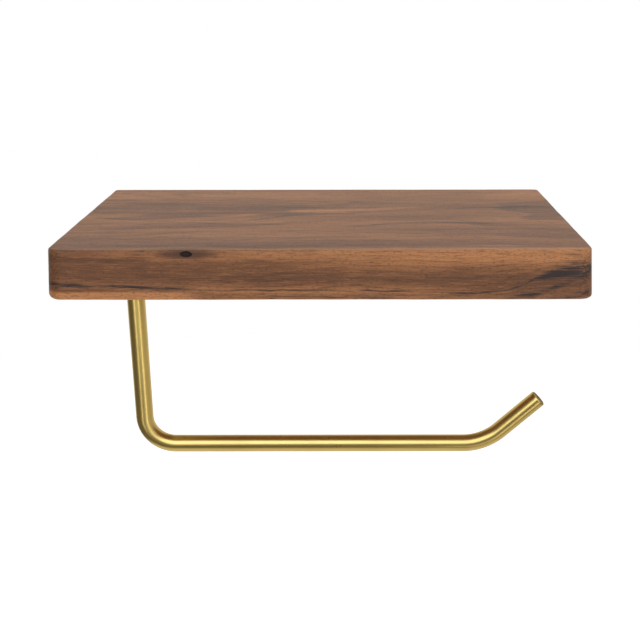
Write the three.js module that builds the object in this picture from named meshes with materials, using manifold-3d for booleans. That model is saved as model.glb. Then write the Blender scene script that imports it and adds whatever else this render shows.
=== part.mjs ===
// Toilet paper holder: a walnut shelf board with an open brass arm hung under it.
//
// Millimetres, +Z up, +X to the right as seen from the front, and the wall at +Y.
// The origin is the centre of the board's back face, which lies against the wall.

import * as THREE from 'three';
import { mergeVertices } from 'three/addons/utils/BufferGeometryUtils.js';
import Module from 'manifold-3d';

const wasm = await Module();
wasm.setup();

// ---------------------------------------------------------------- driving dimensions

// The shelf board. Its ends lean outwards towards the underside.
const board = {
  width: 210, // along X, at the top face
  depth: 120, // along Y, from the wall to the front face
  thickness: 20,
  endLean: 1.6, // how much further out each end is at the underside
  frontCorner: 6, // radius of the two front corners, seen from above
  backCorner: 2, // radius of the two back corners, seen from above
  arris: 1, // rounding of the edges of the top face and the underside
  leftEndRound: 2.2, // radius of the lower edge of the left end
  rightEndRound: 1.2, // radius of the lower edge of the right end
};

// A small open knot in the front face, close under its top edge.
const knot = {
  x: -51,
  belowTop: 1.5,
  length: 4.6, // along X
  height: 2.2, // along Z
  depth: 1.3, // into the face
};

// The arm: one bent rod, with a leg down, a bar across and a short raised tip.
const arm = {
  diameter: 8,
  legInset: 20, // leg's axis from the left end of the top face
  fromWall: 60, // rod's axis from the wall
  drop: 90, // underside of the board to the bar's axis
  cornerInset: 30, // crossing of the bar's and tip's axes, from the right end
  tipLength: 34, // from that crossing to the end of the tip
  tipAngle: 43, // degrees above the bar
  legBend: 14, // radius of the leg's bend, at the rod's axis
  tipBend: 25, // radius of the tip's bend, at the rod's axis
};

// The plate that holds the arm, screwed to the underside.
const armPlate = {
  width: 20, // along X
  length: 56, // along Y
  thickness: 3,
  corner: 6,
  screwSpacing: 40,
};

// Two keyhole plates, let into the back face. The board hangs on wall screws by them.
const keyholePlate = {
  length: 36, // along X, with half-round ends
  height: 14, // along Z
  thickness: 2,
  inset: 38, // plate's centre from the end of the top face
  screwSpacing: 26,
  entryDiameter: 7.6, // the round hole that a wall screw's head goes through
  entryDrop: 2.2, // entry's centre below the plate's centre
  slotWidth: 4.2, // the slot that the board settles down on
  slotRise: 3, // centre of the slot's top above the plate's centre
};

// The hollow behind each keyhole plate, where the wall screw's head travels.
const pocket = {
  margin: 0.6, // wider than the entry all round
  depth: 6, // behind the plate
};

// Countersunk fasteners. A screw's length includes its head.
const plateScrew = {
  length: 16,
  shank: 4,
  head: 7.5,
  rim: 0.3,
  point: 4,
  drive: { span: 4.2, width: 0.9, depth: 1.5 },
};
const keyholeScrew = {
  length: 16,
  shank: 3,
  head: 5.6,
  rim: 0.2,
  point: 3,
  drive: { span: 3.2, width: 0.7, depth: 1.1 },
};
const bolt = {
  length: 14,
  shank: 5,
  head: 9.2,
  rim: 0.3,
  point: 0.6,
  socket: { acrossFlats: 3, depth: 1.7 },
};

const clearance = {
  fastener: 0.1, // radial, round a shank and a head
  headSink: 0.1, // head's face below the face that it is sunk in
  holeEnd: 1, // empty length past a fastener's point
  recess: 0.15, // round a keyhole plate
};

// ---------------------------------------------------------------- how fine the facets are

const weld = 1e-4; // vertices closer than this are one
const roundSteps = 32; // round a rod, a hole or a screw
const cornerSteps = 4; // half the steps on an arc of an outline
const arrisSteps = 3;
const overrun = 5; // how far a cutter runs past the face that it opens

// ---------------------------------------------------------------- finishes

const walnut = new THREE.MeshStandardMaterial({ color: 0x7b5a45, roughness: 0.55, metalness: 0 });
const brass = new THREE.MeshStandardMaterial({ color: 0xb0903f, roughness: 0.32, metalness: 1 });
const steel = new THREE.MeshStandardMaterial({ color: 0xb7babd, roughness: 0.38, metalness: 1 });

// ---------------------------------------------------------------- solids

// A closed three.js geometry as a solid that can be cut and joined.
function toSolid(geometry) {
  const bare = geometry.index ? geometry.toNonIndexed() : geometry.clone();
  bare.deleteAttribute('normal');
  bare.deleteAttribute('uv');
  const merged = mergeVertices(bare, weld);
  const index = merged.index.array;
  const corners = [];
  for (let i = 0; i < index.length; i += 3) {
    const [a, b, c] = [index[i], index[i + 1], index[i + 2]];
    if (a !== b && b !== c && c !== a) {
      corners.push(a, b, c);
    }
  }
  const vertProperties = new Float32Array(merged.attributes.position.array);
  const triVerts = new Uint32Array(corners);
  return new wasm.Manifold(new wasm.Mesh({ numProp: 3, vertProperties, triVerts }));
}

// A solid as a three.js geometry with flat faces.
function toGeometry(solid) {
  const mesh = solid.getMesh();
  const geometry = new THREE.BufferGeometry();
  geometry.setAttribute('position', new THREE.BufferAttribute(mesh.vertProperties, 3));
  geometry.setIndex(new THREE.BufferAttribute(mesh.triVerts, 1));
  geometry.computeVertexNormals();
  return geometry;
}

// A mesh in its finish, ready to be placed.
function piece(name, solid, finish) {
  const mesh = new THREE.Mesh(toGeometry(solid), finish);
  mesh.name = name;
  return mesh;
}

// An outline drawn in X and Y, extruded upwards from Z = 0.
function prism(shape, height) {
  return new THREE.ExtrudeGeometry(shape, {
    depth: height,
    bevelEnabled: false,
    curveSegments: cornerSteps,
  });
}

// An outline drawn in X and Z, extruded forwards (towards -Y) from Y = 0.
function prismForwards(shape, length) {
  return prism(shape, length).rotateX(Math.PI / 2);
}

// A profile of [radius, height] pairs, listed from the bottom up, turned about Z.
function turned(profile) {
  const points = profile.map(([radius, height]) => new THREE.Vector2(radius, height));
  return new THREE.LatheGeometry(points, roundSteps).rotateX(Math.PI / 2);
}

// A round bar along Z between two heights.
function rod(radius, low, high) {
  return turned([[0, low], [radius, low], [radius, high], [0, high]]);
}

// A rectangle with round corners, one radius for its low edge and one for its high edge.
function roundedRectangle(halfWidth, low, high, lowRadius, highRadius) {
  const shape = new THREE.Shape();
  shape.moveTo(-halfWidth + lowRadius, low);
  shape.absarc(halfWidth - lowRadius, low + lowRadius, lowRadius, -Math.PI / 2, 0, false);
  shape.absarc(halfWidth - highRadius, high - highRadius, highRadius, 0, Math.PI / 2, false);
  shape.absarc(-halfWidth + highRadius, high - highRadius, highRadius, Math.PI / 2, Math.PI, false);
  shape.absarc(-halfWidth + lowRadius, low + lowRadius, lowRadius, Math.PI, 1.5 * Math.PI, false);
  return shape;
}

// A strip of even width about the line between two points, with half-round ends.
function obround(fromX, fromY, toX, toY, radius) {
  const heading = Math.atan2(toY - fromY, toX - fromX);
  const quarter = Math.PI / 2;
  const shape = new THREE.Shape();
  shape.absarc(toX, toY, radius, heading - quarter, heading + quarter, false);
  shape.absarc(fromX, fromY, radius, heading + quarter, heading + 3 * quarter, false);
  shape.closePath();
  return shape;
}

// ---------------------------------------------------------------- places

const underside = -board.thickness / 2;
const legX = -board.width / 2 + arm.legInset;
const armY = -arm.fromWall;
const barZ = underside - arm.drop;
const cornerX = board.width / 2 - arm.cornerInset;
const legTop = underside - armPlate.thickness;

const plateScrewYs = {
  front: armY - armPlate.screwSpacing / 2,
  back: armY + armPlate.screwSpacing / 2,
};
const keyholeXs = {
  left: -board.width / 2 + keyholePlate.inset,
  right: board.width / 2 - keyholePlate.inset,
};
const keyholeScrewXs = {
  keyhole_screw_left_outer: keyholeXs.left - keyholePlate.screwSpacing / 2,
  keyhole_screw_left_inner: keyholeXs.left + keyholePlate.screwSpacing / 2,
  keyhole_screw_right_inner: keyholeXs.right - keyholePlate.screwSpacing / 2,
  keyhole_screw_right_outer: keyholeXs.right + keyholePlate.screwSpacing / 2,
};

// ---------------------------------------------------------------- fasteners

// Every fastener is drawn with its head's face at Z = 0, looking up, and its shank below.

function coneHeight(spec) {
  return (spec.head - spec.shank) / 2;
}

function fastenerBlank(spec) {
  const shank = spec.shank / 2;
  const head = spec.head / 2;
  return toSolid(turned([
    [0, -spec.length],
    [shank * 0.3, -spec.length],
    [shank, -spec.length + spec.point],
    [shank, -spec.rim - coneHeight(spec)],
    [head, -spec.rim],
    [head, 0],
    [0, 0],
  ]));
}

// The hole that a fastener's head and shank sit in, open above.
function countersink(spec, depth) {
  const shank = spec.shank / 2 + clearance.fastener;
  const head = spec.head / 2 + clearance.fastener;
  return toSolid(turned([
    [0, -depth],
    [shank, -depth],
    [shank, -spec.rim - coneHeight(spec)],
    [head, -spec.rim],
    [head, overrun],
    [0, overrun],
  ]));
}

// The hole for a fastener's shank alone.
function shankHole(spec) {
  return toSolid(rod(spec.shank / 2 + clearance.fastener, -spec.length - clearance.holeEnd, 0));
}

function crossScrew(spec) {
  const { span, width, depth } = spec.drive;
  const slot = toSolid(new THREE.BoxGeometry(span, width, 2 * depth));
  const crossSlot = toSolid(new THREE.BoxGeometry(width, span, 2 * depth));
  return fastenerBlank(spec).subtract(slot).subtract(crossSlot);
}

function socketBolt(spec) {
  const { acrossFlats, depth } = spec.socket;
  const cornerRadius = acrossFlats / 2 / Math.cos(Math.PI / 6);
  const hexagon = new THREE.CylinderGeometry(cornerRadius, cornerRadius, 2 * depth, 6);
  return fastenerBlank(spec).subtract(toSolid(hexagon.rotateX(Math.PI / 2)));
}

// ---------------------------------------------------------------- shelf board

// Moves each point outwards along X, by nothing at the top face and endLean at the underside.
function leanEnds(geometry) {
  const position = geometry.attributes.position;
  for (let i = 0; i < position.count; i += 1) {
    const below = 0.5 - position.getZ(i) / board.thickness;
    const stretch = 1 + (below * board.endLean) / (board.width / 2);
    position.setX(i, position.getX(i) * stretch);
  }
}

function boardBlank() {
  const outline = roundedRectangle(
    board.width / 2, -board.depth, 0, board.frontCorner, board.backCorner,
  );
  const geometry = new THREE.ExtrudeGeometry(outline, {
    depth: board.thickness - 2 * board.arris,
    bevelEnabled: true,
    bevelThickness: board.arris,
    bevelSize: board.arris,
    bevelOffset: -board.arris,
    bevelSegments: arrisSteps,
    curveSegments: cornerSteps,
  });
  geometry.translate(0, 0, underside + board.arris);
  leanEnds(geometry);
  return toSolid(geometry);
}

// Rounds the lower edge of one end: what lies outside an arc that touches both faces.
function endRoundCutter(side, radius) {
  const endX = board.width / 2 + board.endLean;
  const endAngle = Math.atan2(board.thickness, -board.endLean);
  const fromCorner = radius / Math.tan((Math.PI - endAngle) / 2);
  const centre = new THREE.Vector2(endX - fromCorner, underside + radius);
  const outwards = endAngle - Math.PI / 2;
  const reach = radius + overrun;
  const shape = new THREE.Shape();
  shape.moveTo(centre.x, underside);
  shape.absarc(centre.x, centre.y, radius, -Math.PI / 2, outwards, false);
  shape.lineTo(centre.x + reach * Math.cos(outwards), centre.y + reach * Math.sin(outwards));
  shape.lineTo(endX + reach, underside - overrun);
  shape.lineTo(centre.x, underside - overrun);
  const length = board.depth + 2 * overrun;
  const cutter = prismForwards(shape, length).translate(0, length / 2, 0);
  if (side < 0) {
    cutter.rotateZ(Math.PI);
  }
  return toSolid(cutter.translate(0, -board.depth / 2, 0));
}

function knotCutter() {
  const hollow = new THREE.SphereGeometry(1, 16, 10);
  hollow.scale(knot.length / 2, knot.depth, knot.height / 2);
  return toSolid(hollow.translate(knot.x, -board.depth, board.thickness / 2 - knot.belowTop));
}

// The keyhole plate's outline about its own centre, made wider all round by a gap.
function keyholePlateOutline(gap) {
  const radius = keyholePlate.height / 2;
  const reach = keyholePlate.length / 2 - radius;
  return obround(-reach, 0, reach, 0, radius + gap);
}

function plateRecess(x) {
  const outline = keyholePlateOutline(clearance.recess);
  const length = keyholePlate.thickness + overrun;
  return toSolid(prismForwards(outline, length).translate(x, overrun, 0));
}

// The hollow for the wall screw's head: round ends about the entry and the top of the slot.
function headPocket(x) {
  const radius = keyholePlate.entryDiameter / 2 + pocket.margin;
  const outline = obround(0, -keyholePlate.entryDrop, 0, keyholePlate.slotRise, radius);
  const length = keyholePlate.thickness + pocket.depth;
  return toSolid(prismForwards(outline, length).translate(x, 0, 0));
}

function shelfBoard() {
  let solid = boardBlank();
  solid = solid.subtract(endRoundCutter(-1, board.leftEndRound));
  solid = solid.subtract(endRoundCutter(1, board.rightEndRound));
  solid = solid.subtract(knotCutter());
  for (const x of Object.values(keyholeXs)) {
    solid = solid.subtract(plateRecess(x)).subtract(headPocket(x));
  }
  const backHole = shankHole(keyholeScrew).rotate([-90, 0, 0]);
  for (const x of Object.values(keyholeScrewXs)) {
    solid = solid.subtract(backHole.translate([x, 0, 0]));
  }
  const undersideHole = shankHole(plateScrew).rotate([180, 0, 0]);
  for (const y of Object.values(plateScrewYs)) {
    solid = solid.subtract(undersideHole.translate([legX, y, legTop]));
  }
  return solid;
}

// ---------------------------------------------------------------- arm

// The rod's centreline: straight runs with one step each, joined by arcs of many steps.
class ArmLine extends THREE.Curve {
  constructor() {
    super();
    const angle = THREE.MathUtils.degToRad(arm.tipAngle);
    const tipSetback = arm.tipBend * Math.tan(angle / 2);
    this.points = [];
    this.directions = [];
    this.addStop(legX, legTop, -Math.PI / 2);
    this.addBend(legX + arm.legBend, barZ + arm.legBend, arm.legBend, -Math.PI / 2, 0, 12);
    this.addBend(cornerX - tipSetback, barZ + arm.tipBend, arm.tipBend, 0, angle, 8);
    const tipX = cornerX + arm.tipLength * Math.cos(angle);
    const tipZ = barZ + arm.tipLength * Math.sin(angle);
    this.addStop(tipX, tipZ, angle);
  }

  // One place on the line, and the way it heads there, as an angle above +X.
  addStop(x, z, heading) {
    this.points.push(new THREE.Vector3(x, armY, z));
    this.directions.push(new THREE.Vector3(Math.cos(heading), 0, Math.sin(heading)));
  }

  // An arc that turns upwards about its centre, between two headings.
  addBend(centreX, centreZ, radius, from, to, steps) {
    for (let i = 0; i <= steps; i += 1) {
      const heading = THREE.MathUtils.lerp(from, to, i / steps);
      const x = centreX + radius * Math.sin(heading);
      const z = centreZ - radius * Math.cos(heading);
      this.addStop(x, z, heading);
    }
  }

  get stops() {
    return this.points.length - 1;
  }

  // The line is followed stop by stop, not by its length.
  getUtoTmapping(u) {
    return u;
  }

  getPoint(t) {
    return this.points[Math.round(t * this.stops)].clone();
  }

  getTangent(t) {
    return this.directions[Math.round(t * this.stops)].clone();
  }
}

function rollArm() {
  const line = new ArmLine();
  const section = new THREE.Shape().absarc(0, 0, arm.diameter / 2, 0, 2 * Math.PI, false);
  const geometry = new THREE.ExtrudeGeometry(section, {
    steps: line.stops,
    extrudePath: line,
    curveSegments: roundSteps / 2,
  });
  const threadDepth = bolt.length - clearance.headSink - armPlate.thickness + clearance.holeEnd;
  const thread = rod(bolt.shank / 2 + clearance.fastener, -threadDepth, overrun);
  return toSolid(geometry).subtract(toSolid(thread.translate(legX, armY, legTop)));
}

// ---------------------------------------------------------------- plates

// Drawn about its own centre, with its upper face at Z = 0.
function armPlateSolid() {
  const { width, length, thickness, corner, screwSpacing } = armPlate;
  const outline = roundedRectangle(width / 2, -length / 2, length / 2, corner, corner);
  const blank = toSolid(prism(outline, thickness).translate(0, 0, -thickness));
  const through = thickness + overrun;
  let solid = blank.subtract(countersink(bolt, through).translate([0, 0, -clearance.headSink]));
  const fromBelow = countersink(plateScrew, through).rotate([180, 0, 0]);
  for (const side of [-1, 1]) {
    const y = (side * screwSpacing) / 2;
    solid = solid.subtract(fromBelow.translate([0, y, -thickness + clearance.headSink]));
  }
  return solid;
}

// The keyhole: a round entry with a slot rising out of it to a round top.
function keyholeOutline() {
  const entry = keyholePlate.entryDiameter / 2;
  const half = keyholePlate.slotWidth / 2;
  const opening = Math.asin(half / entry);
  const outline = new THREE.Path();
  outline.absarc(0, keyholePlate.slotRise, half, 0, Math.PI, false);
  outline.absarc(
    0, -keyholePlate.entryDrop, entry, Math.PI / 2 + opening, 2.5 * Math.PI - opening, false,
  );
  outline.closePath();
  return outline;
}

// Drawn about its own centre, with its outer face at Y = 0, looking at the wall.
function keyholePlateSolid() {
  const { thickness, screwSpacing } = keyholePlate;
  const outline = keyholePlateOutline(0);
  outline.holes.push(keyholeOutline());
  let solid = toSolid(prismForwards(outline, thickness));
  const hole = countersink(keyholeScrew, thickness + overrun).rotate([-90, 0, 0]);
  for (const side of [-1, 1]) {
    const x = (side * screwSpacing) / 2;
    solid = solid.subtract(hole.translate([x, -clearance.headSink, 0]));
  }
  return solid;
}

// ---------------------------------------------------------------- assembly

const holder = new THREE.Group();
holder.add(piece('shelf_board', shelfBoard(), walnut));
holder.add(piece('roll_arm', rollArm(), brass));

const mountingPlate = piece('arm_plate', armPlateSolid(), brass);
mountingPlate.position.set(legX, armY, underside);
holder.add(mountingPlate);

const armBolt = piece('arm_bolt', socketBolt(bolt), steel);
armBolt.position.set(legX, armY, underside - clearance.headSink);
holder.add(armBolt);

for (const [place, y] of Object.entries(plateScrewYs)) {
  const screw = piece(`arm_plate_screw_${place}`, crossScrew(plateScrew), brass);
  screw.position.set(legX, y, legTop + clearance.headSink);
  screw.rotation.x = Math.PI;
  holder.add(screw);
}

for (const [side, x] of Object.entries(keyholeXs)) {
  const plate = piece(`keyhole_plate_${side}`, keyholePlateSolid(), steel);
  plate.position.set(x, 0, 0);
  holder.add(plate);
}

for (const [name, x] of Object.entries(keyholeScrewXs)) {
  const screw = piece(name, crossScrew(keyholeScrew), steel);
  screw.position.set(x, -clearance.headSink, 0);
  screw.rotation.x = -Math.PI / 2;
  holder.add(screw);
}

export default holder;
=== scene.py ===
"""Toilet paper holder: a walnut shelf board with an open satin-brass arm under it.

Metres, +Z up, the front faces -Y and the wall is at +Y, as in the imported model. The places of all
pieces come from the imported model's nodes; the shapes are computed surfaces that replace its facets.
"""

import functools
import math

import bpy
import numpy as np
from bpy.props import FloatProperty, FloatVectorProperty, PointerProperty
from mathutils import Euler, Matrix, Vector


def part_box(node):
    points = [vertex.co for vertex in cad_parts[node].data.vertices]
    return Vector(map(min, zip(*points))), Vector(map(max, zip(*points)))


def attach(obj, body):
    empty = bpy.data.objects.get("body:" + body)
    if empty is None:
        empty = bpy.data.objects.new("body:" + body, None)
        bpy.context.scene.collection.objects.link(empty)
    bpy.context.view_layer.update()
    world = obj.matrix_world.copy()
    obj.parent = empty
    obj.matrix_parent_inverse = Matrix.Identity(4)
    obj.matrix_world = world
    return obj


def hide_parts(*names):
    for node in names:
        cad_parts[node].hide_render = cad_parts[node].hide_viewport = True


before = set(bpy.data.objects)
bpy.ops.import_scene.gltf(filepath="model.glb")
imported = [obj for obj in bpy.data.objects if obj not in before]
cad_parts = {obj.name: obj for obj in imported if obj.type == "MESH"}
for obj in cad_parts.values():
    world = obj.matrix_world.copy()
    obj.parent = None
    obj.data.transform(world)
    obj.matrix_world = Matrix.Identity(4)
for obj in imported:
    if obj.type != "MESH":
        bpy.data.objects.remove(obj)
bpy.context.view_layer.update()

bl_info = {
    "name": "Toilet paper holder",
    "version": (1, 0, 0),
    "blender": (4, 5, 0),
    "location": "3D View > Sidebar > Paper holder",
    "description": "Builds a walnut shelf board with a bent brass arm for a toilet roll",
    "category": "Add Mesh",
}

BODY = "root"
MM = 0.001
TURN = 2 * math.pi
STAGE_MIDDLE = (0, -0.06, -0.04)


def node_box(name):
    """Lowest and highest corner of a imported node, as arrays."""
    low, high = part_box(name)
    return np.array(low), np.array(high)


def node_middle(name):
    """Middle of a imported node's box."""
    return sum(node_box(name)) / 2


BOARD_LOW, BOARD_HIGH = node_box("shelf_board")
ARM_LOW, ARM_HIGH = node_box("roll_arm")


# ---------------------------------------------------------------- settings


def length(name, description, millimetres):
    """A length property whose default is given in millimetres."""
    return FloatProperty(
        name=name, description=description, default=millimetres * MM, unit="LENGTH", precision=5
    )


def angle(name, description, degrees):
    """An angle property whose default is given in degrees."""
    return FloatProperty(
        name=name, description=description, default=math.radians(degrees), unit="ROTATION"
    )


def share(name, description, default):
    """A factor from 0 to 1."""
    return FloatProperty(
        name=name, description=description, default=default, min=0, max=1, subtype="FACTOR"
    )


def colour(name, description, default):
    """A linear colour property."""
    return FloatVectorProperty(
        name=name, description=description, default=default, size=3, min=0, max=1, subtype="COLOR"
    )


class BoardSettings(bpy.types.PropertyGroup):
    """Sizes of the shelf board that its box doesn't give."""

    width: length("Width", "Width of the top face", 210)
    end_lean: length("End lean", "How much further out an end is at the underside", 1.6)
    front_corner: length("Front corner", "Radius of the front corners, seen from above", 6)
    back_corner: length("Back corner", "Radius of the back corners, seen from above", 2)
    arris: length("Arris", "Rounding of the edges of the top face and underside", 1)
    arris_wear: share("Arris wear", "How unevenly the arris is sanded", 0.22)
    left_round: length("Left end rounding", "Radius of the left end's lower edge", 2.2)
    right_round: length("Right end rounding", "Radius of the right end's lower edge", 1.2)
    knot_x: length("Knot place", "Middle of the open knot along the front face", -51)
    knot_below: length("Knot depth below top", "From the top face down to the knot's middle", 1.5)
    knot_length: length("Knot length", "Length of the open knot", 4.6)
    knot_height: length("Knot height", "Height of the open knot", 2.2)
    knot_depth: length("Knot depth", "Depth of the open knot", 1.3)


class ArmSettings(bpy.types.PropertyGroup):
    """Bends and ends of the rod."""

    tip_angle: angle("Tip angle", "How far the tip rises above the bar", 43)
    tip_length: length("Tip length", "From where the axes of bar and tip cross to the end", 34)
    leg_bend: length("Leg bend", "Radius of the leg's bend at the rod's axis", 14)
    tip_bend: length("Tip bend", "Radius of the tip's bend at the rod's axis", 25)
    leg_lift: share("Leg lift", "How far the leg's brushing lifts its reflections", 0.22)
    end_round: length("End rounding", "Rounding of the rim of the tip's end", 0.8)
    thread_radius: length("Thread radius", "Radius of the tapped hole in the leg's top", 2.6)
    thread_depth: length("Thread depth", "Depth of the tapped hole in the leg's top", 11.9)


class PlateSettings(bpy.types.PropertyGroup):
    """Sizes of the plates that their boxes don't give."""

    arm_corner: length("Arm plate corner", "Corner radius of the arm's plate", 6)
    edge: length("Edge", "Rounding of the plates' edges", 0.35)
    entry_diameter: length("Keyhole entry", "Diameter of the keyhole's round entry", 7.6)
    entry_drop: length("Entry drop", "Entry's middle below the plate's middle", 2.2)
    slot_width: length("Keyhole slot", "Width of the keyhole's slot", 4.2)
    slot_rise: length("Slot rise", "Middle of the slot's top above the plate's middle", 3)
    recess_gap: length("Recess gap", "Gap round a keyhole plate in its recess", 0.15)
    pocket_margin: length("Pocket margin", "How much wider the pocket is than the entry", 0.6)
    pocket_depth: length("Pocket depth", "Depth of the pocket behind the plate", 6)
    hole_gap: length("Hole gap", "Radial gap round a fastener", 0.1)


class WalnutSettings(bpy.types.PropertyGroup):
    """Colours and figure of the walnut."""

    light: colour("Light wood", "Early wood, where the light bands are", (0.49, 0.214, 0.084))
    middle: colour("Middle wood", "The wood's main brown", (0.205, 0.083, 0.033))
    dark: colour("Dark wood", "Late wood, where the dark bands are", (0.090, 0.038, 0.019))
    streak: colour("Mineral streak", "The blue-black veins", (0.026, 0.019, 0.020))
    # The knot colour is the knot's dark wood with painted shade of its hollow.
    knot: colour("Knot", "The knot's heart", (0.018, 0.013, 0.013))
    ring: length("Ring spacing", "Spacing of the growth rings", 9)
    pith_below: length("Pith below", "How far the tree's centre lies below the board", 70)
    pith_back: length("Pith back", "How far the tree's centre lies in front of the wall", 40)


class MetalSettings(bpy.types.PropertyGroup):
    """Colours and roughness of the metals."""

    brass: colour("Brass", "Colour of the satin brass", (0.66, 0.475, 0.145))
    brass_roughness: share("Brass roughness", "Roughness of the satin brass", 0.29)
    zinc: colour("Zinc", "Colour of the zinc plating", (0.60, 0.61, 0.62))
    zinc_roughness: share("Zinc roughness", "Roughness of the zinc plating", 0.34)


class StageSettings(bpy.types.PropertyGroup):
    """Camera, floor and lights."""

    camera_x: length("Camera side", "Camera to the right of the board's middle", 11.6)
    camera_front: length("Camera distance", "Camera in front of the front face", 361.3)
    camera_up: length("Camera height", "Camera above the top face", 93.8)
    camera_pitch: angle("Camera pitch", "How far the camera looks down", 18.646)
    camera_roll: angle("Camera roll", "Turn of the camera about its own axis", -0.07)
    lens: FloatProperty(name="Lens", description="Focal length in mm", default=54.95)
    shift_x: FloatProperty(name="Shift", description="Sideways shift", default=-0.0468)
    floor_drop: length("Floor", "Floor below the lowest point of the arm", 420)
    floor_radius: length("Floor radius", "Radius of the round floor", 1300)


class HolderSettings(bpy.types.PropertyGroup):
    """All settings of the holder."""

    board: PointerProperty(type=BoardSettings)
    arm: PointerProperty(type=ArmSettings)
    plates: PointerProperty(type=PlateSettings)
    walnut: PointerProperty(type=WalnutSettings)
    metal: PointerProperty(type=MetalSettings)
    stage: PointerProperty(type=StageSettings)


# ---------------------------------------------------------------- surfaces


def ring_mesh(name, rings, first_pole, last_pole=None):
    """A mesh from rings of points, closed onto a pole at its first row and, if given, its last.

    rings is an array (rows, stations, 3). Each row is a closed loop. A quad joins each pair of
    neighbours on two rows, and a fan closes a row onto its pole.
    """
    rows, stations, _ = rings.shape
    poles = [first_pole] if last_pole is None else [first_pole, last_pole]
    points = np.vstack([rings.reshape(-1, 3), *[[pole] for pole in poles]])
    column = np.arange(stations)
    following = (column + 1) % stations
    row = np.arange(rows - 1)[:, None] * stations
    quads = np.stack(
        [row + column, row + stations + column, row + stations + following, row + following], axis=2
    ).reshape(-1, 4)
    first = rows * stations
    end = first - stations
    faces = quads.tolist()
    faces += np.stack([np.full(stations, first), column, following], axis=1).tolist()
    if last_pole is not None:
        fan = [np.full(stations, first + 1), end + following, end + column]
        faces += np.stack(fan, axis=1).tolist()
    mesh = bpy.data.meshes.new(name)
    mesh.from_pydata(points, [], faces)
    mesh.update()
    return mesh


def add_attribute(mesh, name, kind, field, values):
    """A value or vector for each point of the mesh, for its material to read."""
    attribute = mesh.attributes.new(name, kind, "POINT")
    attribute.data.foreach_set(field, np.ascontiguousarray(values, dtype=np.float32).ravel())


def new_object(name, mesh):
    """An object for a mesh, linked to the scene, at the origin."""
    piece = bpy.data.objects.new(name, mesh)
    bpy.context.scene.collection.objects.link(piece)
    return piece


def moved(mesh, place, turn_x=0.0):
    """The mesh turned about X and then moved to a place. Its points change, not its object."""
    mesh.transform(Matrix.Translation(Vector(place)) @ Matrix.Rotation(turn_x, 4, "X"))
    return mesh


def cut(piece, cutters):
    """The piece with each cutter mesh taken out of it, one after another."""
    tools = [new_object("cutter", mesh) for mesh in cutters]
    for tool in tools:
        modifier = piece.modifiers.new("cut", "BOOLEAN")
        modifier.operation = "DIFFERENCE"
        modifier.solver = "MANIFOLD"
        modifier.object = tool
    whole = piece.data
    evaluated = piece.evaluated_get(bpy.context.evaluated_depsgraph_get())
    mesh = bpy.data.meshes.new_from_object(evaluated)
    piece.modifiers.clear()
    piece.data = mesh
    mesh.name = piece.name
    bpy.data.meshes.remove(whole)
    for tool in tools:
        data = tool.data
        bpy.data.objects.remove(tool)
        bpy.data.meshes.remove(data)
    return piece


def finish_piece(piece, material, replaces, crease=35):
    """Smooths a piece up to a crease angle in degrees, gives it its finish, hangs it under the body's
    empty and hides the imported nodes it replaces.
    """
    mesh = piece.data
    mesh.materials.clear()
    mesh.materials.append(material)
    mesh.shade_smooth()
    mesh.set_sharp_from_angle(angle=math.radians(crease))
    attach(piece, BODY)
    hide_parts(*replaces)
    return piece


def arc(centre, radius, start, end, steps):
    """Points and outward normals on an arc, its last point left out. Angles in degrees."""
    turn = np.radians(np.linspace(start, end, steps, endpoint=False))
    normals = np.stack([np.cos(turn), np.sin(turn)], axis=1)
    return np.array(centre) + radius * normals, normals


def run(start, end, places):
    """Points on a straight run at shares of its length, and its normal, to its right."""
    start, end = np.array(start, float), np.array(end, float)
    along = (end - start) / np.linalg.norm(end - start)
    points = start + (end - start) * np.asarray(places)[:, None]
    return points, np.tile([along[1], -along[0]], (len(places), 1))


def even(steps):
    """Equal shares from 0 up to, and not with, 1."""
    return np.linspace(0, 1, steps, endpoint=False)


def joined(*parts):
    """Outline parts, each a pair of points and normals, as one pair."""
    return np.vstack([p for p, _ in parts]), np.vstack([n for _, n in parts])


def rounded_outline(low, high, front_radius, back_radius, runs, corner_steps):
    """A rectangle in X and Y with round corners, anticlockwise from its front left.

    runs holds the shares at which the front, right, back and left runs have their points.
    """
    (left, front), (right, back) = low, high
    f, b = front_radius, back_radius
    return joined(
        run((left + f, front), (right - f, front), runs[0]),
        arc((right - f, front + f), f, -90, 0, corner_steps),
        run((right, front + f), (right, back - b), runs[1]),
        arc((right - b, back - b), b, 0, 90, corner_steps),
        run((right - b, back), (left + b, back), runs[2]),
        arc((left + b, back - b), b, 90, 180, corner_steps),
        run((left, back - b), (left, front + f), runs[3]),
        arc((left + f, front + f), f, 180, 270, corner_steps),
    )


def obround_outline(start, end, radius, corner_steps=24):
    """A strip of even width about a line, with half-round ends, anticlockwise."""
    start, end = np.array(start, float), np.array(end, float)
    heading = math.degrees(math.atan2(*(end - start)[::-1]))
    return joined(
        arc(end, radius, heading - 90, heading + 90, corner_steps),
        arc(start, radius, heading + 90, heading + 270, corner_steps),
    )


def keyhole_outline(plates, corner_steps=24):
    """A round entry with a slot that rises out of it to a round top, anticlockwise."""
    entry, half = plates.entry_diameter / 2, plates.slot_width / 2
    opening = math.degrees(math.asin(half / entry))
    return joined(
        arc((0, plates.slot_rise), half, 0, 180, corner_steps),
        arc((0, -plates.entry_drop), entry, 90 + opening, 450 - opening, 2 * corner_steps),
        run((half, -plates.entry_drop + entry), (half, plates.slot_rise), [0.5]),
    )


def slab_rings(outline, insets, heights):
    """A vertical profile carried round an outline.

    Row by row the outline is moved inwards along its normals by the row's inset, and lifted to the
    row's height. Insets and heights are (rows,) or (rows, stations) arrays.
    """
    points, normals = outline
    stations = len(points)
    shape = (len(insets), stations)
    insets = np.broadcast_to(np.asarray(insets, float).reshape(len(insets), -1), shape)
    heights = np.broadcast_to(np.asarray(heights, float).reshape(len(heights), -1), shape)
    flat = points[None] - normals[None] * insets[..., None]
    return np.concatenate([flat, heights[..., None]], axis=2)


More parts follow.
